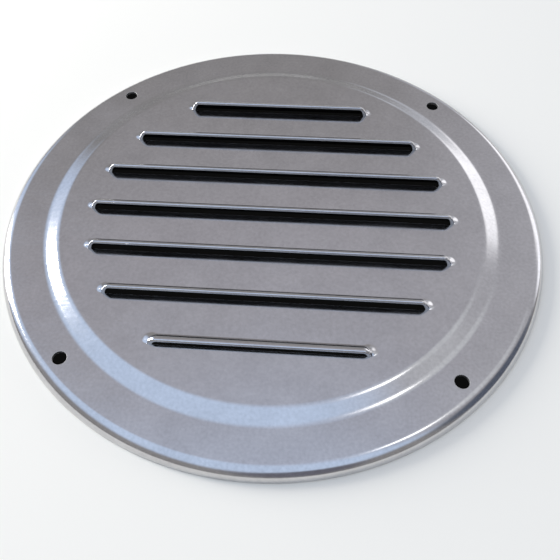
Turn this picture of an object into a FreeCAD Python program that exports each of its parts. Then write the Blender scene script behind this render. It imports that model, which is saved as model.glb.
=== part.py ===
"""Round louvred vent cover, pressed from one disc of sheet steel.

Frame: millimetres, +Z out of the face, with the origin at the centre of the plane that the
turned-down edge stands on. The louvres run along X and their mouths look towards -Y.
"""
import FreeCAD, Part
import math
import os
import Sketcher
from FreeCAD import Vector

NODE = "vent_cover"

# Driving dimensions: alias, millimetres (or a count or a ratio), what it sets
DIMENSIONS = (
    ("outer_diameter", 127.0, "over the turned-down edge"),
    ("sheet_thickness", 0.8, "the steel, even all over"),
    ("edge_radius", 2.8, "outside of the quarter-round edge, and so the height of the rim"),
    ("rim_width", 9.6, "flat rim and edge, outside the step ring"),
    ("step_width", 3.4, "step ring, from the rim in to the raised face"),
    ("step_height", 1.1, "raised face above the rim"),
    ("step_steepness", 1.4, "slope of the step's wall over its mean slope: 1 no bends, 2 no wall"),
    ("hole_diameter", 3.2, "screw holes"),
    ("hole_inset", 5.4, "hole centres in from the outer edge"),
    ("hole_count", 4, "screw holes, each in the middle of its sector of the disc"),
    ("louvre_pitch", 12.0, "from one louvre to the next"),
    ("louvre_margin", 7.8, "flat face outside the circle that the hood ends reach"),
    ("shortest_louvre", 30.0, "a row that would be shorter is left out"),
    ("lance_drop", 1.2, "lance line below the middle line of its row"),
    ("hood_rise", 2.6, "top of the lip above the face"),
    ("hood_depth", 3.0, "from the lip back to the foot of the hood"),
)

# Sizes that follow from them. The step is two equal bends joined by a straight wall. The hidden side of
# the sheet is plainer: corners behind the step, and one flat facet inside the edge that touches the true
# bend. A hood is part of a circle that runs level at the lip and meets the face at the foot.
FOLLOWING = (
    ("outer_radius", "=dims.outer_diameter / 2"),
    ("edge_start", "=outer_radius - dims.edge_radius"),
    ("rim_underside", "=dims.edge_radius - dims.sheet_thickness"),
    ("facet_foot", "=rim_underside * tan(22.5 deg)"),
    ("facet_top", "=edge_start + facet_foot"),
    ("face_top", "=dims.edge_radius + dims.step_height"),
    ("step_foot", "=outer_radius - dims.rim_width"),
    ("face_radius", "=step_foot - dims.step_width"),
    ("step_slope", "=dims.step_steepness * atan(dims.step_height / dims.step_width)"),
    ("step_offset", "=dims.step_width * sin(step_slope) - dims.step_height * cos(step_slope)"),
    ("step_bend", "=step_offset / (2 * (1 - cos(step_slope)))"),
    ("wall_top_inside", "=face_radius + (step_bend - dims.sheet_thickness) * tan(step_slope / 2)"),
    ("wall_foot_inside", "=step_foot - (step_bend + dims.sheet_thickness) * tan(step_slope / 2)"),
    ("sector_angle", "=360 / dims.hole_count"),
    ("hole_radius", "=dims.hole_diameter / 2"),
    ("hole_circle_radius", "=outer_radius - dims.hole_inset"),
    ("louvre_reach", "=face_radius - dims.louvre_margin"),
    ("last_row_offset", "=sqrt(louvre_reach^2 - (dims.shortest_louvre / 2)^2)"),
    ("rows_each_side", "=floor(last_row_offset / dims.louvre_pitch)"),
    ("hood_outside", "=(dims.hood_rise^2 + dims.hood_depth^2) / (2 * dims.hood_rise)"),
    ("hood_inside", "=hood_outside - dims.sheet_thickness"),
    ("mouth_height", "=dims.hood_rise - dims.sheet_thickness"),
)

# Points of a sketch's geometry, and the sketch's own axes
START, END, CENTRE = 1, 2, 3
ORIGIN = (-1, START)
H_AXIS, V_AXIS = -1, -2


def add_spreadsheet(doc, name, cells):
    """Fill a spreadsheet with one aliased cell for each (alias, content)."""
    sheet = doc.addObject("Spreadsheet::Sheet", name)
    for row, (alias, content) in enumerate(cells, start=1):
        sheet.set(f"A{row}", alias)
        sheet.set(f"B{row}", str(content))
        sheet.setAlias(f"B{row}", alias)
    doc.recompute()
    return sheet


def add_sketch(body, name, role, offset=None):
    """A sketch on one of the body's origin planes, moved by an expression along each axis given."""
    sketch = body.newObject("Sketcher::SketchObject", name)
    plane = next(item for item in body.Origin.OriginFeatures if item.Role == role)
    sketch.AttachmentSupport = (plane, "")
    sketch.MapMode = "FlatFace"
    for axis, expression in (offset or {}).items():
        sketch.setExpression(f"AttachmentOffset.Base.{axis}", expression)
    return sketch


def line(sketch, start, end):
    return sketch.addGeometry(Part.LineSegment(Vector(*start), Vector(*end)), False)


def arc(sketch, centre, radius, first, last):
    """Counter-clockwise arc between two angles in degrees."""
    circle = Part.Circle(Vector(*centre), Vector(0, 0, 1), radius)
    curve = Part.ArcOfCircle(circle, math.radians(first), math.radians(last))
    return sketch.addGeometry(curve, False)


def around(centre, radius, angle):
    """Point of a circle at an angle in degrees."""
    turn = math.radians(angle)
    return centre[0] + radius * math.cos(turn), centre[1] + radius * math.sin(turn)


def hold(sketch, kind, *items):
    return sketch.addConstraint(Sketcher.Constraint(kind, *items))


def join(sketch, kind, *pairs):
    """Join the two (geometry, point) of each pair, sharply or tangentially."""
    for first, second in pairs:
        hold(sketch, kind, *first, *second)


def bind(sketch, cell, kind, *items):
    """A dimension that takes its value from a spreadsheet cell, given as sheet.alias."""
    sheet, alias = cell.split(".")
    value = sketch.Document.getObject(sheet).get(alias)
    index = hold(sketch, kind, *items, value)
    sketch.renameConstraint(index, alias)
    sketch.setExpression(f"Constraints.{alias}", cell)


def draw_pressed_section(sketch, dims, follows):
    """Half section of the disc: edge, rim, step ring and face, first outside and then inside."""
    slope = follows.step_slope.Value
    rim_top = dims.edge_radius
    face_under = follows.face_top - dims.sheet_thickness
    rim_under = follows.rim_underside
    foot_inside = follows.outer_radius - dims.sheet_thickness
    crown_centre = (follows.face_radius, follows.face_top - follows.step_bend)
    hollow_centre = (follows.step_foot, rim_top + follows.step_bend)
    wall_top = around(crown_centre, follows.step_bend, 90 - slope)
    wall_foot = around(hollow_centre, follows.step_bend, 270 - slope)

    face = line(sketch, (0, follows.face_top), (follows.face_radius, follows.face_top))
    crown = arc(sketch, crown_centre, follows.step_bend, 90 - slope, 90)
    wall = line(sketch, wall_top, wall_foot)
    hollow = arc(sketch, hollow_centre, follows.step_bend, 270 - slope, 270)
    rim = line(sketch, (follows.step_foot, rim_top), (follows.edge_start, rim_top))
    edge = arc(sketch, (follows.edge_start, 0), rim_top, 0, 90)
    foot = line(sketch, (follows.outer_radius, 0), (foot_inside, 0))
    edge_in = line(sketch, (foot_inside, 0), (foot_inside, follows.facet_foot))
    facet_in = line(sketch, (foot_inside, follows.facet_foot), (follows.facet_top, rim_under))
    rim_in = line(sketch, (follows.facet_top, rim_under), (follows.wall_foot_inside, rim_under))
    wall_in = line(sketch, (follows.wall_foot_inside, rim_under), (follows.wall_top_inside, face_under))
    face_in = line(sketch, (follows.wall_top_inside, face_under), (0, face_under))
    axis = line(sketch, (0, face_under), (0, follows.face_top))
    join(
        sketch, "Tangent",
        ((face, END), (crown, END)), ((crown, START), (wall, START)), ((wall, END), (hollow, START)),
        ((hollow, END), (rim, START)), ((rim, END), (edge, END)),
    )
    join(
        sketch, "Coincident",
        ((edge, START), (foot, START)), ((foot, END), (edge_in, START)),
        ((edge_in, END), (facet_in, START)), ((facet_in, END), (rim_in, START)),
        ((rim_in, END), (wall_in, START)), ((wall_in, END), (face_in, START)),
        ((face_in, END), (axis, START)), ((axis, END), (face, START)),
    )
    for level in (face, rim, rim_in, face_in):
        hold(sketch, "Horizontal", level)
    hold(sketch, "Vertical", edge_in)
    for point in ((axis, START), (axis, END)):
        hold(sketch, "PointOnObject", *point, V_AXIS)
    for point in ((edge, CENTRE), (foot, START), (foot, END)):
        hold(sketch, "PointOnObject", *point, H_AXIS)
    hold(sketch, "Equal", crown, hollow)
    hold(sketch, "Equal", axis, foot)
    bind(sketch, "follows.outer_radius", "DistanceX", *ORIGIN, foot, START)
    bind(sketch, "dims.sheet_thickness", "DistanceX", foot, END, foot, START)
    bind(sketch, "dims.edge_radius", "Radius", edge)
    bind(sketch, "follows.facet_foot", "DistanceY", *ORIGIN, facet_in, START)
    bind(sketch, "follows.facet_top", "DistanceX", *ORIGIN, facet_in, END)
    bind(sketch, "follows.rim_underside", "DistanceY", *ORIGIN, rim_in, START)
    bind(sketch, "follows.step_foot", "DistanceX", *ORIGIN, rim, START)
    bind(sketch, "follows.face_radius", "DistanceX", *ORIGIN, face, END)
    bind(sketch, "follows.face_top", "DistanceY", *ORIGIN, face, END)
    bind(sketch, "follows.step_bend", "Radius", crown)
    bind(sketch, "follows.wall_foot_inside", "DistanceX", *ORIGIN, wall_in, START)
    bind(sketch, "follows.wall_top_inside", "DistanceX", *ORIGIN, wall_in, END)


def draw_hood_outside(sketch, dims, follows):
    """Outside section of a hood, standing on the face: upright at the lip, a circle back to the foot."""
    centre = (0, dims.hood_rise - follows.hood_outside)
    foot_angle = math.degrees(math.asin(-centre[1] / follows.hood_outside))
    lip = line(sketch, (0, 0), (0, dims.hood_rise))
    back = arc(sketch, centre, follows.hood_outside, foot_angle, 90)
    base = line(sketch, (dims.hood_depth, 0), (0, 0))
    join(
        sketch, "Coincident",
        ((lip, START), ORIGIN), ((lip, END), (back, END)),
        ((back, START), (base, START)), ((base, END), ORIGIN),
    )
    hold(sketch, "Vertical", lip)
    hold(sketch, "Horizontal", base)
    hold(sketch, "PointOnObject", back, CENTRE, V_AXIS)
    bind(sketch, "dims.hood_rise", "DistanceY", *ORIGIN, lip, END)
    bind(sketch, "dims.hood_depth", "DistanceX", *ORIGIN, base, START)


def draw_hood_inside(sketch, dims, follows):
    """Section of the space under a hood, one sheet thickness inside it and through the face."""
    centre = (0, dims.hood_rise - follows.hood_outside)
    under = -dims.sheet_thickness
    foot_angle = math.degrees(math.asin((under - centre[1]) / follows.hood_inside))
    foot = around(centre, follows.hood_inside, foot_angle)
    mouth = line(sketch, (0, under), (0, follows.mouth_height))
    roof = arc(sketch, centre, follows.hood_inside, foot_angle, 90)
    base = line(sketch, foot, (0, under))
    join(
        sketch, "Coincident",
        ((mouth, END), (roof, END)), ((roof, START), (base, START)), ((base, END), (mouth, START)),
    )
    hold(sketch, "Horizontal", base)
    hold(sketch, "PointOnObject", mouth, START, V_AXIS)
    hold(sketch, "PointOnObject", mouth, END, V_AXIS)
    hold(sketch, "PointOnObject", roof, CENTRE, V_AXIS)
    bind(sketch, "follows.mouth_height", "DistanceY", *ORIGIN, mouth, END)
    bind(sketch, "dims.sheet_thickness", "DistanceY", mouth, START, *ORIGIN)
    bind(sketch, "follows.hood_inside", "Radius", roof)


def add_feature(body, kind, name, sketch):
    feature = body.newObject(f"PartDesign::{kind}", name)
    feature.Profile = sketch
    return feature


def press_disc(body, dims, follows):
    """Turn one sector of the disc, punch its screw hole, and repeat the sector around the axis."""
    section = add_sketch(body, "pressed_section", "XZ_Plane")
    draw_pressed_section(section, dims, follows)
    sector = add_feature(body, "Revolution", "pressed_sector", section)
    sector.ReferenceAxis = (section, ["V_Axis"])
    sector.setExpression("Angle", "follows.sector_angle")
    body.Document.recompute()

    outline = add_sketch(body, "screw_hole_outline", "XY_Plane", {"z": "dims.edge_radius"})
    outline.setExpression("AttachmentOffset.Rotation.Angle", "follows.sector_angle / 2")
    centre = Vector(follows.hole_circle_radius, 0)
    hole = outline.addGeometry(Part.Circle(centre, Vector(0, 0, 1), follows.hole_radius), False)
    hold(outline, "PointOnObject", hole, CENTRE, H_AXIS)
    bind(outline, "follows.hole_circle_radius", "DistanceX", *ORIGIN, hole, CENTRE)
    bind(outline, "follows.hole_radius", "Radius", hole)
    punch = add_feature(body, "Pocket", "screw_hole", outline)
    punch.Type = "ThroughAll"
    body.Document.recompute()

    disc = body.newObject("PartDesign::PolarPattern", "pressed_disc")
    disc.Originals = [sector, punch]
    disc.Axis = (outline, ["N_Axis"])
    disc.setExpression("Occurrences", "dims.hole_count")
    body.Tip = disc
    body.Document.recompute()


def draw_louvre(body, dims, follows, row, name):
    """One hood: a straight run, and a quarter turn about each end of its lip, hollowed from below."""
    straight = f"rows.{name} - dims.hood_depth"
    offset = {
        "x": f"{row} * dims.louvre_pitch - dims.lance_drop",
        "y": "follows.face_top",
        "z": straight,
    }
    outside = add_sketch(body, f"{name}_outside", "YZ_Plane", offset)
    draw_hood_outside(outside, dims, follows)
    inside = add_sketch(body, f"{name}_inside", "YZ_Plane", offset)
    draw_hood_inside(inside, dims, follows)

    raised = add_feature(body, "Pad", f"{name}_hood", outside)
    raised_end = add_feature(body, "Revolution", f"{name}_hood_end", outside)
    hollow = add_feature(body, "Pocket", f"{name}_hollow", inside)
    hollow_end = add_feature(body, "Groove", f"{name}_hollow_end", inside)
    for run in (raised, hollow):
        run.setExpression("Length", f"2 * ({straight})")
    raised.Reversed = True
    for sketch, turn in ((outside, raised_end), (inside, hollow_end)):
        turn.ReferenceAxis = (sketch, ["V_Axis"])
        turn.Angle = 90
        turn.Reversed = True
    body.Document.recompute()

    middle = next(item for item in body.Origin.OriginFeatures if item.Role == "YZ_Plane")
    both_ends = body.newObject("PartDesign::Mirrored", f"{name}_both_ends")
    both_ends.Originals = [raised_end, hollow_end]
    both_ends.MirrorPlane = (middle, [""])
    body.Tip = both_ends
    body.Document.recompute()


def louvre_rows(rows_each_side):
    """Row number, counted from the middle of the face, and name of each louvre."""
    numbers = range(-rows_each_side, rows_each_side + 1)
    return [(number, f"louvre_{number + rows_each_side + 1}") for number in numbers]


def half_chord(row):
    """Half length of a row: half of the chord that its middle line cuts from the louvre circle."""
    return f"=sqrt(follows.louvre_reach^2 - ({row} * dims.louvre_pitch)^2)"


def check(doc):
    """Stop if an object failed, a sketch is loose, or the body is not one valid solid."""
    failed = [item.Name for item in doc.Objects if {"Invalid", "Error"} & set(item.State)]
    sketches = [item for item in doc.Objects if item.TypeId == "Sketcher::SketchObject"]
    loose = [sketch.Name for sketch in sketches if not sketch.FullyConstrained]
    if failed or loose:
        raise RuntimeError(f"failed objects: {failed}, loose sketches: {loose}")
    shape = doc.getObject(NODE).Shape
    if shape.isNull() or not shape.isValid() or len(shape.Solids) != 1:
        raise RuntimeError(f"{NODE} is not one valid solid")


def main():
    doc = FreeCAD.newDocument("round_vent_cover")
    dims = add_spreadsheet(doc, "dims", ((alias, value) for alias, value, _ in DIMENSIONS))
    follows = add_spreadsheet(doc, "follows", FOLLOWING)
    rows = louvre_rows(int(follows.rows_each_side))
    add_spreadsheet(doc, "rows", ((name, half_chord(row)) for row, name in rows))

    body = doc.addObject("PartDesign::Body", NODE)
    body.Label = NODE
    press_disc(body, dims, follows)
    for row, name in rows:
        draw_louvre(body, dims, follows, row, name)

    check(doc)
    os.makedirs("parts", exist_ok=True)
    body.Shape.exportStep(f"parts/{body.Label}.step")
    print(f"{len(rows)} louvres, volume {body.Shape.Volume:.1f} mm3")


main()
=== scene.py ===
import bpy
import numpy as np
from mathutils import Matrix, Vector
from mathutils.geometry import tessellate_polygon


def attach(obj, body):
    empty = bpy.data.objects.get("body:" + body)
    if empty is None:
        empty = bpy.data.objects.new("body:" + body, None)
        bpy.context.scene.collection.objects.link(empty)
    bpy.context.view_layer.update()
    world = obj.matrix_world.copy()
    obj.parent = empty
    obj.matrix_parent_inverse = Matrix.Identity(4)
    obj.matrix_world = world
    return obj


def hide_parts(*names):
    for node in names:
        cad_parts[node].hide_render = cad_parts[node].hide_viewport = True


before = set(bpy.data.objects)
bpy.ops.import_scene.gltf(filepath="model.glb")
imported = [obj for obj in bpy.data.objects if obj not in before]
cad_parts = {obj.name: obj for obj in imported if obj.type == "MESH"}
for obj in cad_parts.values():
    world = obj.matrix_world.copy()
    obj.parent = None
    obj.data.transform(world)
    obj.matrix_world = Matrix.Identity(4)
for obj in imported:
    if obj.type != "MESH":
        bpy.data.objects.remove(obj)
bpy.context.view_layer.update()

MM = 0.001                  # a millimetre in metres

# The pressed disc
SHEET = 0.8                 # thickness of the sheet
RADIUS = 63.5               # outside of the turned-down edge
EDGE = 2.8                  # outside radius of the rounded edge, and height of the rim
EDGE_END = 4.0              # the edge's polished round stops this many degrees above the ground
EDGE_END_IN = 5.0           # and the inside of its bend this many
SHEARED = 0.15              # rounding of a sheared edge
FACE = 3.9                  # height of the face
FACE_OUT = 49.15            # the flat face ends at this radius
CROWN = 4.0                 # bend radius of the step at the face
HOLLOW = 4.5                # bend radius of the step at the rim
STEP_SLOPE = 18.4           # slope of the step's wall in degrees

# The screw holes
HOLE = 1.55                 # radius of a hole
HOLE_RING = 58.1            # the holes sit on this radius
HOLE_ANGLES = (45.0, 135.0, 225.0, 315.0)  # and at these angles from the louvres
HOLE_TOP = 0.05             # rounding of a hole's upper edge
HOLE_UNDER = 0.1            # rounding of its lower edge

# The louvre hoods
PITCH = 12.0                # from louvre to louvre
SIDE_ROWS = 3               # louvres in front of the middle one, and as many behind it
LANCE_DROP = 1.2            # a lance lies this far in front of its louvre's line
LOUVRE_REACH = 42.85        # the louvres' ends lie on this circle
RISE = 2.6                  # a hood's lip stands this high over the face
LOW_RISE = 1.65             # the nearest hood is drawn less high
DEPTH = 2.6                 # from a hood's lip to its foot
STRETCH = 0.8               # a hood's ends run out over this share of its depth
HOOD_POWER = 2.3            # a hood falls by this power of the distance from its lip
LIP = 0.4                   # rounding of the lip outside
LIP_IN = 0.2                # and inside
LIP_FADE = 0.6              # that rounding fades out where the lip comes lower than this
SILL_FADE = 1.0             # the sill's rounding fades out over this length at the ends of a mouth
DOME = 0.4                  # the metal is drawn up this high at a hood's ends
DOME_IN = 0.7               # the middle of that dome lies this far inside the hood's end
DOME_REACH = 2.0            # the dome runs out over this distance sideways and backwards
DOME_FRONT = 1.0            # its middle lies this far behind the lance, where it runs out in front
SKIRT = 4.8                 # the face is drawn finely this far around a hood's middle line
MOUTH = np.array([0.0, -1.0, 0.0])  # the way the mouths look

# Points and steps in the grids
TURN = 360                  # steps around the disc
HOLE_TURN = 48              # steps around a screw hole
BEND_STEPS = 12             # steps in a bend of the step
EDGE_STEPS = 22             # steps in the round of the edge
EDGE_IN_STEPS = 14          # steps in the inside of that bend
SHEAR_STEPS = 4             # steps in a sheared edge
HOLE_TOP_STEPS = 5          # steps in a hole's upper edge
HOLE_UNDER_STEPS = 3        # steps in its lower edge
LIP_POINTS = 6              # points in the round of a lip
BACK_POINTS = 22            # points from the lip back to the foot
END_POINTS = 23             # points along a hood's end
SILL_POINTS = 4             # points in the round of a sill
SKIRT_POINTS = 13           # points from a hood out to the end of its skirt
WELD = 2000.0               # points on the same step of this many to a millimetre are one point
TINY = 1e-9                 # a distance too small to matter, so that nothing is divided by zero

# The finishes, by their place in the list of materials
POLISHED, MILLED, CUT, LINING = 0, 1, 2, 3


# Helpers for surfaces. A patch is its points, normals, quads and finish.


def grid(points, normals, finish, flip=False):
    """A patch from a grid of points, row by row, with quads between neighbours; flip turns the quads over."""
    rows, columns = points.shape[:2]
    number = np.arange(rows * columns).reshape(rows, columns)
    quads = np.stack([number[:-1, :-1], number[:-1, 1:], number[1:, 1:], number[1:, :-1]], -1)
    quads = quads.reshape(-1, 4)
    if flip:
        quads = quads[:, ::-1]
    return points.reshape(-1, 3), normals.reshape(-1, 3), quads, finish


def turned(profile, normals, finish, centre=(0.0, 0.0), steps=TURN, bore=False):
    """A profile of radius and height carried around an upright axis: x is the radius times the cosine of the
    angle, y the radius times its sine, and z the height. A bore has its quads the other way round."""
    angle = np.linspace(0.0, 2.0 * np.pi, steps + 1)
    angle[-1] = 0.0
    cosine = np.cos(angle)[None, :]
    sine = np.sin(angle)[None, :]
    radius, height = profile[:, :1], profile[:, 1:]
    out, up = normals[:, :1], normals[:, 1:]
    x = centre[0] + radius * cosine
    y = centre[1] + radius * sine
    points = np.stack(np.broadcast_arrays(x, y, height), -1)
    around = np.stack(np.broadcast_arrays(out * cosine, out * sine, up), -1)
    return grid(points, around, finish, flip=not bore)


def ring(radius, centre=(0.0, 0.0), steps=TURN):
    """A circle as the border of a flat: the centre plus the radius times the cosine and the sine of even
    angles, the same points that a profile turned around that centre has."""
    angle = np.linspace(0.0, 2.0 * np.pi, steps, endpoint=False)
    return np.column_stack([centre[0] + radius * np.cos(angle), centre[1] + radius * np.sin(angle)])


def bend(centre, radius, start, end, steps, outward=1.0):
    """An arc of a profile: the centre plus the radius times the cosine and the sine of the angle in degrees,
    with normals along the radius, away from the centre or, with outward -1, towards it."""
    angle = np.radians(np.linspace(start, end, steps + 1))
    way = np.stack([np.cos(angle), np.sin(angle)], -1)
    return np.array(centre) + radius * way, outward * way


def join(*arcs):
    """Arcs one after another, as one profile with its normals; straight lines run between them."""
    return tuple(np.concatenate(part) for part in zip(*arcs))


def flat(borders, height, side, finish):
    """The plane where z is the height, inside the first border and outside the others, filled with triangles.
    Each triangle is a quad whose last two corners are one, and side is 1 where it faces up and -1 down."""
    level = [np.column_stack([border, np.zeros(len(border))]) for border in borders]
    triangles = np.array(tessellate_polygon(level))
    xy = np.concatenate(borders)
    a, b, c = (xy[triangles[:, corner]] for corner in range(3))
    area = (b[:, 0] - a[:, 0]) * (c[:, 1] - a[:, 1]) - (b[:, 1] - a[:, 1]) * (c[:, 0] - a[:, 0])
    if area.sum() * side <= 0.0:
        triangles = triangles[:, ::-1]
    points = np.column_stack([xy, np.full(len(xy), height)])
    quads = np.column_stack([triangles, triangles[:, 2]])
    return points, np.tile([0.0, 0.0, float(side)], (len(xy), 1)), quads, finish


# The disc: step ring, turned-down edge, screw holes and rim

# The step's wall takes the height that its bends leave, and the rim starts where the lower bend runs out.
slope = np.radians(STEP_SLOPE)
wall = (FACE - EDGE - (CROWN + HOLLOW) * (1.0 - np.cos(slope))) / np.sin(slope)
rim_in = FACE_OUT + (CROWN + HOLLOW) * np.sin(slope) + wall * np.cos(slope)


def step_profile(crown, hollow, up):
    """The step on one side of the sheet: an arc at the face, a straight wall and an arc at the rim that touch
    smoothly. Both sides of the sheet have the same two centres, and up is 1 outside and -1 on the back."""
    face_bend = bend((FACE_OUT, FACE - CROWN), crown, 90.0, 90.0 - STEP_SLOPE, BEND_STEPS, up)
    rim_bend = bend((rim_in, EDGE + HOLLOW), hollow, 270.0 - STEP_SLOPE, 270.0, BEND_STEPS, -up)
    return join(face_bend, rim_bend)


step_back = step_profile(CROWN - SHEET, HOLLOW + SHEET, -1.0)
patches = [turned(*step_profile(CROWN, HOLLOW, 1.0), POLISHED),
           turned(*[part[::-1] for part in step_back], MILLED)]

# The edge: a quarter round from the rim down, the sheared foot that it stands on, and the inside of the bend.
rim_out = RADIUS - EDGE
edge = bend((rim_out, 0.0), EDGE, 90.0, EDGE_END, EDGE_STEPS)
edge_in = bend((rim_out, 0.0), EDGE - SHEET, EDGE_END_IN, 90.0, EDGE_IN_STEPS, -1.0)
foot = join([part[-1:] for part in edge],
            bend((RADIUS - SHEARED, SHEARED), SHEARED, 0.0, -90.0, SHEAR_STEPS),
            bend((RADIUS - SHEET + SHEARED, SHEARED), SHEARED, 270.0, 180.0, SHEAR_STEPS),
            [part[:1] for part in edge_in])
patches += [turned(*edge, POLISHED), turned(*foot, CUT), turned(*edge_in, MILLED)]

# A screw hole: a punched wall with slightly rounded edges.
under = EDGE - SHEET
hole_wall = join(bend((HOLE + HOLE_TOP, EDGE - HOLE_TOP), HOLE_TOP, 90.0, 180.0, HOLE_TOP_STEPS),
                 bend((HOLE + HOLE_UNDER, under + HOLE_UNDER), HOLE_UNDER, 180.0, 270.0, HOLE_UNDER_STEPS))
hole_angles = np.radians(HOLE_ANGLES)
hole_places = HOLE_RING * np.column_stack([np.cos(hole_angles), np.sin(hole_angles)])
patches += [turned(*hole_wall, CUT, place, HOLE_TURN, bore=True) for place in hole_places]

# The rim, outside and on the back, with the holes left open.
rim_borders = [ring(rim_out), ring(rim_in)]
holes_above = [ring(HOLE + HOLE_TOP, place, HOLE_TURN) for place in hole_places]
holes_below = [ring(HOLE + HOLE_UNDER, place, HOLE_TURN) for place in hole_places]
patches += [flat(rim_borders + holes_above, EDGE, 1, POLISHED),
            flat(rim_borders + holes_below, under, -1, MILLED)]

# The face and its louvre hoods


def hood_plan(half):
    """A hood seen from above, as a grid. Rows lie back from the lip by the lip's rounding times one minus a
    cosine, and then by the depth times a sine. In each row the ends reach past the straight by a share of the
    square root of the depth squared minus the row's distance squared, which is a quarter ellipse. With x and
    the distance back come u, the distance from the straight lip line, the direction away from that line, and
    lift, which goes from 0 to 1 over the round of the lip."""
    straight = half - DEPTH * STRETCH
    lip_round = np.radians(np.linspace(0.0, 90.0, LIP_POINTS))
    back_round = np.linspace(np.arcsin(LIP / DEPTH), np.pi / 2.0, BACK_POINTS)[1:]
    back = np.concatenate([LIP * (1.0 - np.cos(lip_round)), DEPTH * np.sin(back_round)])[:, None]
    back[-1] = DEPTH
    lift = np.concatenate([np.sin(lip_round), np.ones(len(back_round))])[:, None]
    along = np.sin(np.radians(np.linspace(0.0, 90.0, END_POINTS)))
    right = straight + STRETCH * np.sqrt(np.maximum(DEPTH ** 2 - back ** 2, 0.0)) * along
    x = np.concatenate([-right[:, ::-1], right], 1)
    past = np.sign(x) * np.maximum(np.abs(x) - straight, 0.0) / STRETCH
    back = np.tile(back, (1, x.shape[1]))
    u = np.minimum(np.hypot(past, back), DEPTH)
    away = np.stack([past, back], -1) / np.maximum(u, TINY)[..., None]
    return straight, x, back, u, away, lift


def hood_section(u, depth, base, rise):
    """Height over the face and slope at the distance u from the lip line: the base, plus the rise times one
    minus a power of u over the depth. The crest lies at the lip, and the back falls ever more steeply."""
    share = np.minimum(u / depth, 1.0)
    height = base + rise * (1.0 - share ** HOOD_POWER)
    fall = -HOOD_POWER * rise / depth * share ** (HOOD_POWER - 1.0)
    return height, np.where(u > depth, 0.0, fall)


def hood_side(plan, y_lip, rise, sign):
    """One side of a hood's sheet, the outside with sign 1 or the lining with sign -1, which follows the
    section one sheet lower and further in. The lip is rounded off: the surface draws in by the rounding times
    one minus lift, and the normals swing from the mouth's way to the surface's own. Both fade out where the
    lip comes down to the face."""
    _, x, back, u, away, lift = plan
    outside = sign > 0.0
    sheet = 0.0 if outside else SHEET
    rounding = LIP if outside else LIP_IN
    z, fall = hood_section(u, DEPTH - sheet, -sheet, rise)
    fade = np.clip(z[:1] / LIP_FADE, 0.0, 1.0)
    z = z - sign * rounding * fade * (1.0 - lift)
    normals = np.stack([-fall * away[..., 0] / STRETCH, -fall * away[..., 1], np.ones_like(u)], -1)
    normals = sign * normals / np.linalg.norm(normals, axis=-1, keepdims=True)
    own = lift + (1.0 - lift) * (1.0 - fade)
    ahead = np.sqrt(1.0 - lift ** 2) * fade
    normals = own[..., None] * normals + ahead[..., None] * MOUTH
    normals = normals / np.linalg.norm(normals, axis=-1, keepdims=True)
    return np.stack([x, y_lip + back, FACE + z], -1), normals


def cut_faces(line, y_lip, lip_edge, lining_edge):
    """The two sheared faces along a lance. The lip's goes from the lining, or the face where that is higher,
    up to the outside of the hood. The sill's goes from the face, or the lining where that is lower, down to
    the back of the sheet; its upper edge is a quarter round that fades out towards the ends of the mouth."""
    y_line = np.full_like(line, y_lip)
    lip_low = np.maximum(lining_edge, FACE)
    lip = np.stack([np.column_stack([line, y_line, z]) for z in (lip_low, lip_edge)])
    open_to = np.abs(line[lining_edge >= FACE]).max()
    rounding = SHEARED * np.clip((open_to - np.abs(line)) / SILL_FADE, 0.0, 1.0)
    lean = np.radians(np.linspace(90.0, 0.0, SILL_POINTS))[:, None]
    sill_y = np.vstack([y_lip - rounding * (1.0 - np.cos(lean)), y_line])
    sill_z = np.vstack([np.minimum(lining_edge, FACE) - rounding * (1.0 - np.sin(lean)),
                        np.full_like(line, FACE - SHEET)])
    sill = np.stack(np.broadcast_arrays(line, sill_y, sill_z), -1)
    lean = np.vstack([lean, [[0.0]]])
    sill_normals = np.stack(np.broadcast_arrays(0.0 * line, np.cos(lean), np.sin(lean)), -1)
    return lip, sill, sill_normals


def skirt(border, straight, y_middle, height, side, finish):
    """The face around a hood: straight lines from the hood's border out to a round-ended oblong, whose points
    all lie one skirt from the hood's middle line. It gives the patch, and the oblong as the flat's border."""
    x_middle = np.clip(border[:, 0], -straight, straight)
    middle = np.column_stack([x_middle, np.full(len(border), y_middle)])
    out = border - middle
    oblong = middle + SKIRT * out / np.linalg.norm(out, axis=1, keepdims=True)
    share = np.linspace(0.0, 1.0, SKIRT_POINTS)[:, None, None]
    xy = (1.0 - share) * border + share * oblong
    xy = np.concatenate([xy, xy[:, :1]], 1)
    points = np.concatenate([xy, np.full_like(xy[..., :1], height)], -1)
    normals = np.broadcast_to([0.0, 0.0, float(side)], points.shape)
    return grid(points, normals, finish, flip=side > 0), oblong


def draw_up(points, normals, ends):
    """Raise the metal at both ends of a hood: by the dome's height times the square of one minus the squared
    share of its reach, with a shorter reach in front. The raise gets less with the height over the face, so
    that the hood's crest stays, and the normals lean away from the slope that is added."""
    away = points[:, None, :2] - ends
    shorter = np.where(away[..., 1:] < 0.0, [1.0, DOME_REACH / DOME_FRONT], 1.0)
    away = away * shorter
    inside = 1.0 - np.minimum((away ** 2).sum(-1) / DOME_REACH ** 2, 1.0)
    dome = DOME * (inside ** 2).sum(-1)
    climb = (-4.0 * DOME / DOME_REACH ** 2 * inside[..., None] * away * shorter).sum(1)
    over = points[:, 2] - FACE
    left = np.clip(1.0 - over / RISE, 0.0, 1.0)
    # Low parts rise more than high ones, which squeezes the hood's own slopes.
    squeeze = np.where(over > 0.0, 1.0 - dome / RISE, 1.0)
    raised = np.column_stack([points[:, :2], points[:, 2] + dome * left])
    upright = normals[:, 2:] / squeeze[:, None]
    leaned = np.column_stack([normals[:, :2] - upright * left[:, None] * climb, upright])
    return raised, leaned / np.linalg.norm(leaned, axis=1, keepdims=True)


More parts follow.
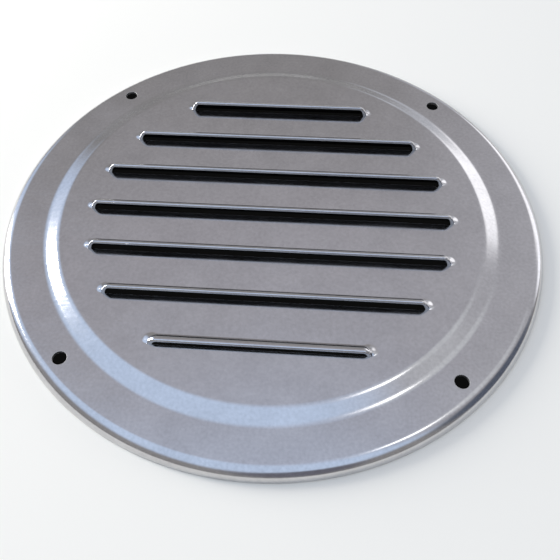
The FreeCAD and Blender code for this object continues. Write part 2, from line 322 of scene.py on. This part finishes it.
def hood(y_lip, half, rise):
    """One louvre: the outside and the lining of its hood, the two sheared faces along its lance and the face
    around it on both sides of the sheet, all drawn up a little at the hood's ends. It gives the patches, and
    the borders that they leave in the face and in its back."""
    plan = hood_plan(half)
    straight, x = plan[:2]
    top, top_normals = hood_side(plan, y_lip, rise, 1.0)
    lining, lining_normals = hood_side(plan, y_lip, rise, -1.0)

    # At both ends of the mouth, the point of the lining's edge nearest to the face's height goes there.
    middle = x.shape[1] // 2
    nearest = middle + np.abs(lining[0, middle:, 2] - FACE).argmin()
    lining[0, [nearest, -1 - nearest], 2] = FACE

    lip, sill, sill_normals = cut_faces(x[0], y_lip, top[0, :, 2], lining[0, :, 2])
    lip_normals = np.broadcast_to(MOUTH, lip.shape)
    foot_line = np.concatenate([top[1:, -1, :2], top[1:, 0, :2][::-1]])
    border_above = np.concatenate([sill[0, :, :2], foot_line])
    border_below = np.concatenate([sill[-1, :, :2], foot_line])
    y_middle = y_lip + DEPTH / 2.0
    above, oblong_above = skirt(border_above, straight, y_middle, FACE, 1, POLISHED)
    below, oblong_below = skirt(border_below, straight, y_middle, FACE - SHEET, -1, MILLED)
    # The lining gets the steel with painted shade: its dark colour stands in for the shadow inside the mouth.
    made = [grid(top, top_normals, POLISHED), grid(lining, lining_normals, LINING, flip=True),
            grid(lip, lip_normals, CUT), grid(sill, sill_normals, CUT), above, below]
    dome_x = half - DOME_IN
    dome_y = y_lip + DOME_FRONT
    ends = np.array([(-dome_x, dome_y), (dome_x, dome_y)])
    raised = [(*draw_up(points, normals, ends), *rest) for points, normals, *rest in made]
    return raised, oblong_above, oblong_below


face_borders = [ring(FACE_OUT)]
back_borders = [ring(FACE_OUT)]
for row in range(-SIDE_ROWS, SIDE_ROWS + 1):
    y_row = PITCH * row
    half = np.sqrt(LOUVRE_REACH ** 2 - y_row ** 2)
    rise = LOW_RISE if row == -SIDE_ROWS else RISE
    hood_patches, oblong_above, oblong_below = hood(y_row - LANCE_DROP, half, rise)
    patches += hood_patches
    face_borders.append(oblong_above)
    back_borders.append(oblong_below)
patches += [flat(face_borders, FACE, 1, POLISHED), flat(back_borders, FACE - SHEET, -1, MILLED)]

# The finishes: sizes of their patterns in millimetres, and how strongly they show

HAZE = 7.0                  # patches of slightly lighter and darker tone, left by wiping
CLOUD = 18.18               # patches where the polish is duller
WAVE = 20.83                # waves that pressing leaves in thin sheet
# Real specks and buffing lines are about ten times finer. They are drawn this coarse so that they show.
SPECK = 0.7                 # specks in the polish
LINE = (11.11, 0.5556, 1.111)  # a buffing line's size in x, y and z
DARKER, LIGHTER = 0.90, 1.08  # the tone runs between these shares of the colour
TONE_FROM, TONE_TO = 0.6, 1.4  # haze plus specks runs between these
DULL_FROM, DULL_TO = 0.55, 0.95  # clouds plus a share of the lines runs between these
LINE_SHARE = 0.5            # that share


def linear(code):
    """sRGB hex code to linear colour: the share of 255, divided by 12.92 where it is small; elsewhere 0.055 is
    added to it, the sum is divided by 1.055, and the result is raised to the power 2.4."""
    share = np.array([int(code[digit:digit + 2], 16) for digit in (1, 3, 5)]) / 255.0
    value = np.where(share <= 0.04045, share / 12.92, ((share + 0.055) / 1.055) ** 2.4)
    return (*value.tolist(), 1.0)


def node(tree, kind, settings=None, inputs=None, sources=None):
    """Add one node: settings are its properties, inputs its socket values, sources what is linked into it.
    Sockets go by name, or by number where a node has several of one name: a Mix node's share is 0, its two
    colours are 6 and 7, and its mixed colour is output 2."""
    made = tree.nodes.new(kind)
    for name, value in (settings or {}).items():
        setattr(made, name, value)
    for name, value in (inputs or {}).items():
        made.inputs[name].default_value = value
    for name, source in (sources or {}).items():
        tree.links.new(source, made.inputs[name])
    return made


def steel(name, colour, rough, rough_spread, grain, wave):
    """Stainless steel: hazy, specked tone, roughness from cloudy patches and buffing lines along x, and a
    bump of those lines over the waves of the sheet. Grain and wave are the heights of these bumps."""
    material = bpy.data.materials.new(name)
    material.use_nodes = True
    tree = material.node_tree
    shader = tree.nodes["Principled BSDF"]
    shader.inputs["Metallic"].default_value = 1.0
    place = node(tree, "ShaderNodeTexCoord").outputs["Object"]

    haze = node(tree, "ShaderNodeTexNoise", inputs={"Scale": 1.0 / (HAZE * MM), "Detail": 2.0},
                sources={"Vector": place})
    specks = node(tree, "ShaderNodeTexNoise", inputs={"Scale": 1.0 / (SPECK * MM), "Detail": 1.0},
                  sources={"Vector": place})
    mottle = node(tree, "ShaderNodeMath", {"operation": "ADD"},
                  sources={0: haze.outputs["Fac"], 1: specks.outputs["Fac"]})
    tone = node(tree, "ShaderNodeMapRange", inputs={"From Min": TONE_FROM, "From Max": TONE_TO},
                sources={"Value": mottle.outputs["Value"]})
    plain = np.array(linear(colour)[:3])
    dark = (*np.minimum(DARKER * plain, 1.0).tolist(), 1.0)
    light = (*np.minimum(LIGHTER * plain, 1.0).tolist(), 1.0)
    tint = node(tree, "ShaderNodeMix", {"data_type": "RGBA"}, {6: dark, 7: light},
                {0: tone.outputs["Result"]})
    tree.links.new(tint.outputs[2], shader.inputs["Base Color"])

    stretched = node(tree, "ShaderNodeMapping", inputs={"Scale": [1.0 / (size * MM) for size in LINE]},
                     sources={"Vector": place})
    lines = node(tree, "ShaderNodeTexNoise", inputs={"Scale": 1.0, "Detail": 4.0, "Roughness": 0.6},
                 sources={"Vector": stretched.outputs["Vector"]})
    clouds = node(tree, "ShaderNodeTexNoise",
                  inputs={"Scale": 1.0 / (CLOUD * MM), "Detail": 5.0, "Roughness": 0.6},
                  sources={"Vector": place})
    both = node(tree, "ShaderNodeMath", {"operation": "MULTIPLY_ADD"}, {1: LINE_SHARE},
                {0: lines.outputs["Fac"], 2: clouds.outputs["Fac"]})
    dull = node(tree, "ShaderNodeMapRange",
                inputs={"From Min": DULL_FROM, "From Max": DULL_TO,
                        "To Min": rough, "To Max": rough + rough_spread},
                sources={"Value": both.outputs["Value"]})
    tree.links.new(dull.outputs["Result"], shader.inputs["Roughness"])

    uneven = node(tree, "ShaderNodeTexNoise", inputs={"Scale": 1.0 / (WAVE * MM), "Detail": 1.0},
                  sources={"Vector": place})
    wavy = node(tree, "ShaderNodeBump", inputs={"Strength": 1.0, "Distance": wave * MM},
                sources={"Height": uneven.outputs["Fac"]})
    fine = node(tree, "ShaderNodeBump", inputs={"Strength": 1.0, "Distance": grain * MM},
                sources={"Height": lines.outputs["Fac"], "Normal": wavy.outputs["Normal"]})
    tree.links.new(fine.outputs["Normal"], shader.inputs["Normal"])
    return material


finishes = [
    # Pressed, then buffed along the louvres: a soft mirror with faint lines, hazy patches and gentle waves.
    steel("polished stainless steel", "#CECDCE", rough=0.10, rough_spread=0.10, grain=0.0015, wave=0.02),
    # The back as the rolling mill left it: dull grey without clear reflections.
    steel("mill-finish stainless steel", "#8E8C88", rough=0.40, rough_spread=0.15, grain=0.006, wave=0.02),
    # Cut by the press tool: bright, torn metal that scatters the light.
    steel("sheared stainless steel", "#CCCAC7", rough=0.42, rough_spread=0.15, grain=0.01, wave=0.01),
    # Under the hoods: dull steel whose colour is painted near-black as shade, so that the mouths look nearly
    # black.
    steel("stainless steel painted dark as shade under the hoods", "#3A3938", rough=0.45, rough_spread=0.15, grain=0.006,
          wave=0.01)]

# The mesh: all patches joined where their points meet, and each corner with the normal of its own patch

patch_points, patch_normals, patch_quads, patch_finish = zip(*patches)
starts = np.cumsum([0] + [len(points) for points in patch_points[:-1]])
points = np.concatenate(patch_points)
normals = np.concatenate(patch_normals)
quads = np.concatenate([numbers + start for numbers, start in zip(patch_quads, starts)])
finish_of = np.repeat(patch_finish, [len(numbers) for numbers in patch_quads])
rounded = np.round(points * WELD).astype(np.int64)
_, first, joined = np.unique(rounded, axis=0, return_index=True, return_inverse=True)
corners = joined.reshape(-1)[quads]
kept = corners != np.roll(corners, -1, axis=1)
whole = kept.sum(1) >= 3
quads, corners, kept, finish_of = quads[whole], corners[whole], kept[whole], finish_of[whole]
faces = np.split(corners[kept], np.cumsum(kept.sum(1))[:-1])

mesh = bpy.data.meshes.new("vent_cover_surface")
mesh.from_pydata(points[first] * MM, [], faces)
mesh.polygons.foreach_set("material_index", finish_of.astype(np.int32))
mesh.polygons.foreach_set("use_smooth", np.ones(len(faces), dtype=bool))
for finish in finishes:
    mesh.materials.append(finish)
mesh.normals_split_custom_set(normals[quads[kept]])
mesh.update()
piece = bpy.data.objects.new("vent_cover_surface", mesh)
bpy.context.scene.collection.objects.link(piece)
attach(piece, "root")
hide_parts("vent_cover")

# The floor: white paper with a round opening under the cover, as a wall has behind a vent, for dark mouths

FLOOR_REACH = 3000.0        # from the middle of the floor to its sides
FLOOR_DROP = 0.03           # the paper lies this far under the cover's edge
OPENING = RADIUS - 1.2      # radius of the opening, hidden by the edge
opening = ring(OPENING)
sides = opening / np.abs(opening).max(axis=1, keepdims=True) * FLOOR_REACH
floor_points = np.column_stack([np.concatenate([opening, sides]), np.full(2 * TURN, -FLOOR_DROP)])
here = np.arange(TURN)
following = (here + 1) % TURN
floor_mesh = bpy.data.meshes.new("floor")
floor_quads = np.column_stack([here, here + TURN, following + TURN, following])
floor_mesh.from_pydata(floor_points * MM, [], floor_quads)
floor = bpy.data.objects.new("floor", floor_mesh)
bpy.context.scene.collection.objects.link(floor)

# Uncoated paper: matt, slightly warm white without any gloss.
paper = bpy.data.materials.new("white paper")
paper.use_nodes = True
paper_shader = paper.node_tree.nodes["Principled BSDF"]
paper_shader.inputs["Base Color"].default_value = linear("#FFF9EC")
paper_shader.inputs["Roughness"].default_value = 0.9
paper_shader.inputs["Specular IOR Level"].default_value = 0.0
floor_mesh.materials.append(paper)

# The light: two soft boxes, and a room with pale and dark parts that the polished steel mirrors


def soft_box(name, place, width, height, level):
    """A lamp that looks at the middle of the cover, in metres: its power is the brightness of its face times
    pi times its area."""
    data = bpy.data.lights.new(name, "AREA")
    data.shape = "RECTANGLE"
    data.size = width
    data.size_y = height
    data.energy = level * np.pi * width * height
    lamp = bpy.data.objects.new(name, data)
    lamp.location = place
    lamp.rotation_euler = (-Vector(place)).to_track_quat("-Z", "Y").to_euler()
    bpy.context.scene.collection.objects.link(lamp)


soft_box("left soft box", (-0.69, 0.25, 0.25), width=0.22, height=0.44, level=20.0)
soft_box("high right soft box", (0.30, 0.05, 0.80), width=0.13, height=0.13, level=3.0)

# The room's brightness by height: the sine of the angle over the horizon, and the linear colour there.
ROOM = ((-0.02, (0.004, 0.004, 0.004)), (0.0, (0.30, 0.295, 0.30)), (0.30, (0.35, 0.345, 0.35)),
        (0.60, (0.345, 0.335, 0.34)), (0.70, (0.42, 0.41, 0.43)), (0.78, (0.48, 0.47, 0.51)),
        (0.85, (0.50, 0.50, 0.55)), (0.90, (0.54, 0.56, 0.65)), (0.93, (0.57, 0.62, 0.75)),
        (1.0, (0.66, 0.75, 0.95)))
# Parts of the room, each over the one before: the way to its middle, how far a direction has to go that way
# for the part to begin and to be full, its linear colour, and whether it shows only overhead.
PARTS = (((-0.80, 0.42, 0.42), 0.86, 0.96, (0.72, 0.85, 1.10, 1.0), False),    # window on the left
         ((0.36, 0.88, 0.30), 0.955, 0.99, (0.64, 0.66, 0.72, 1.0), False),    # pale panel at the far end
         ((0.62, 0.55, 0.56), 0.82, 0.96, (0.52, 0.52, 0.56, 1.0), False),     # pale wall at the far right
         ((0.45, 0.22, 0.865), 0.95, 0.99, (0.72, 0.74, 0.78, 1.0), False),    # pale panel high on the right
         ((0.575, 0.73, 0.37), 0.955, 0.99, (1.60, 1.60, 1.66, 1.0), False),   # bright panel at the far right
         ((0.80, 0.55, 0.22), 0.955, 0.99, (1.60, 1.62, 1.72, 1.0), False),    # bright panel on the right
         ((-0.6, -1.0, 0.0), -0.25, 0.05, (0.72, 0.87, 1.13, 1.0), True),      # sky light over the near side
         ((0.93, -0.10, 0.36), 0.90, 0.97, (0.12, 0.14, 0.19, 1.0), False),    # dark panel on the right
         ((0.20, -0.88, 0.43), 0.90, 0.98, (0.18, 0.18, 0.22, 1.0), False))    # dark panel on the near side
OVERHEAD_FROM, OVERHEAD_TO = 0.73, 0.89  # overhead begins and is full here: 0 is straight down, 1 straight up

world = bpy.context.scene.world or bpy.data.worlds.new("studio walls")
bpy.context.scene.world = world
world.use_nodes = True
tree = world.node_tree
direction = node(tree, "ShaderNodeTexCoord").outputs["Generated"]
sine = node(tree, "ShaderNodeSeparateXYZ", sources={"Vector": direction}).outputs["Z"]
height = node(tree, "ShaderNodeMapRange", inputs={"From Min": -1.0, "From Max": 1.0},
              sources={"Value": sine}).outputs["Result"]
walls = node(tree, "ShaderNodeValToRGB", sources={"Fac": height})
stops = walls.color_ramp.elements
ready = len(stops)  # a new ramp has its first stops already
for number, (up, colour) in enumerate(ROOM):
    position = 0.5 + up / 2.0
    stop = stops[number] if number < ready else stops.new(position)
    stop.position = position
    stop.color = (*colour, 1.0)
overhead = node(tree, "ShaderNodeMapRange", {"interpolation_type": "SMOOTHSTEP"},
                {"From Min": OVERHEAD_FROM, "From Max": OVERHEAD_TO}, {"Value": height}).outputs["Result"]
room = walls.outputs["Color"]
for way, begin, full, colour, only_overhead in PARTS:
    along = node(tree, "ShaderNodeVectorMath", {"operation": "DOT_PRODUCT"}, {1: way}, {0: direction})
    share = node(tree, "ShaderNodeMapRange", {"interpolation_type": "SMOOTHSTEP"},
                 {"From Min": begin, "From Max": full}, {"Value": along.outputs["Value"]}).outputs["Result"]
    if only_overhead:
        share = node(tree, "ShaderNodeMath", {"operation": "MULTIPLY"},
                     sources={0: share, 1: overhead}).outputs["Value"]
    room = node(tree, "ShaderNodeMix", {"data_type": "RGBA"}, {7: colour},
                {0: share, 6: room}).outputs[2]
tree.links.new(room, tree.nodes["Background"].inputs["Color"])

# The camera, at the photo's viewing angle

EYE = Vector((7.22, -104.45, 125.39))    # where it stands
AIM = Vector((-2.05, -16.96, 0.0))       # what it looks at
ROLL = -2.028               # its turn about the line of sight in degrees
LENS, SENSOR = 43.304, 36.0  # focal length and width of the picture
SHIFT = 0.0421              # share of the width by which the picture's middle lies off that line
NEAR = 10.0                 # nothing nearer than this is drawn
ahead = (AIM - EYE).normalized()
level = ahead.cross(Vector((0.0, 0.0, 1.0))).normalized()
roll = np.radians(ROLL)
across = level * np.cos(roll) + level.cross(ahead) * np.sin(roll)
upward = across.cross(ahead)
camera_data = bpy.data.cameras.new("camera")
camera_data.lens = LENS
camera_data.sensor_width = SENSOR
camera_data.shift_x = SHIFT
camera_data.clip_start = NEAR * MM
camera = bpy.data.objects.new("camera", camera_data)
camera.matrix_world = Matrix.Translation(EYE * MM) @ Matrix((across, upward, -ahead)).transposed().to_4x4()
bpy.context.scene.collection.objects.link(camera)
bpy.context.scene.camera = camera
bpy.context.scene.view_settings.view_transform = "Standard"
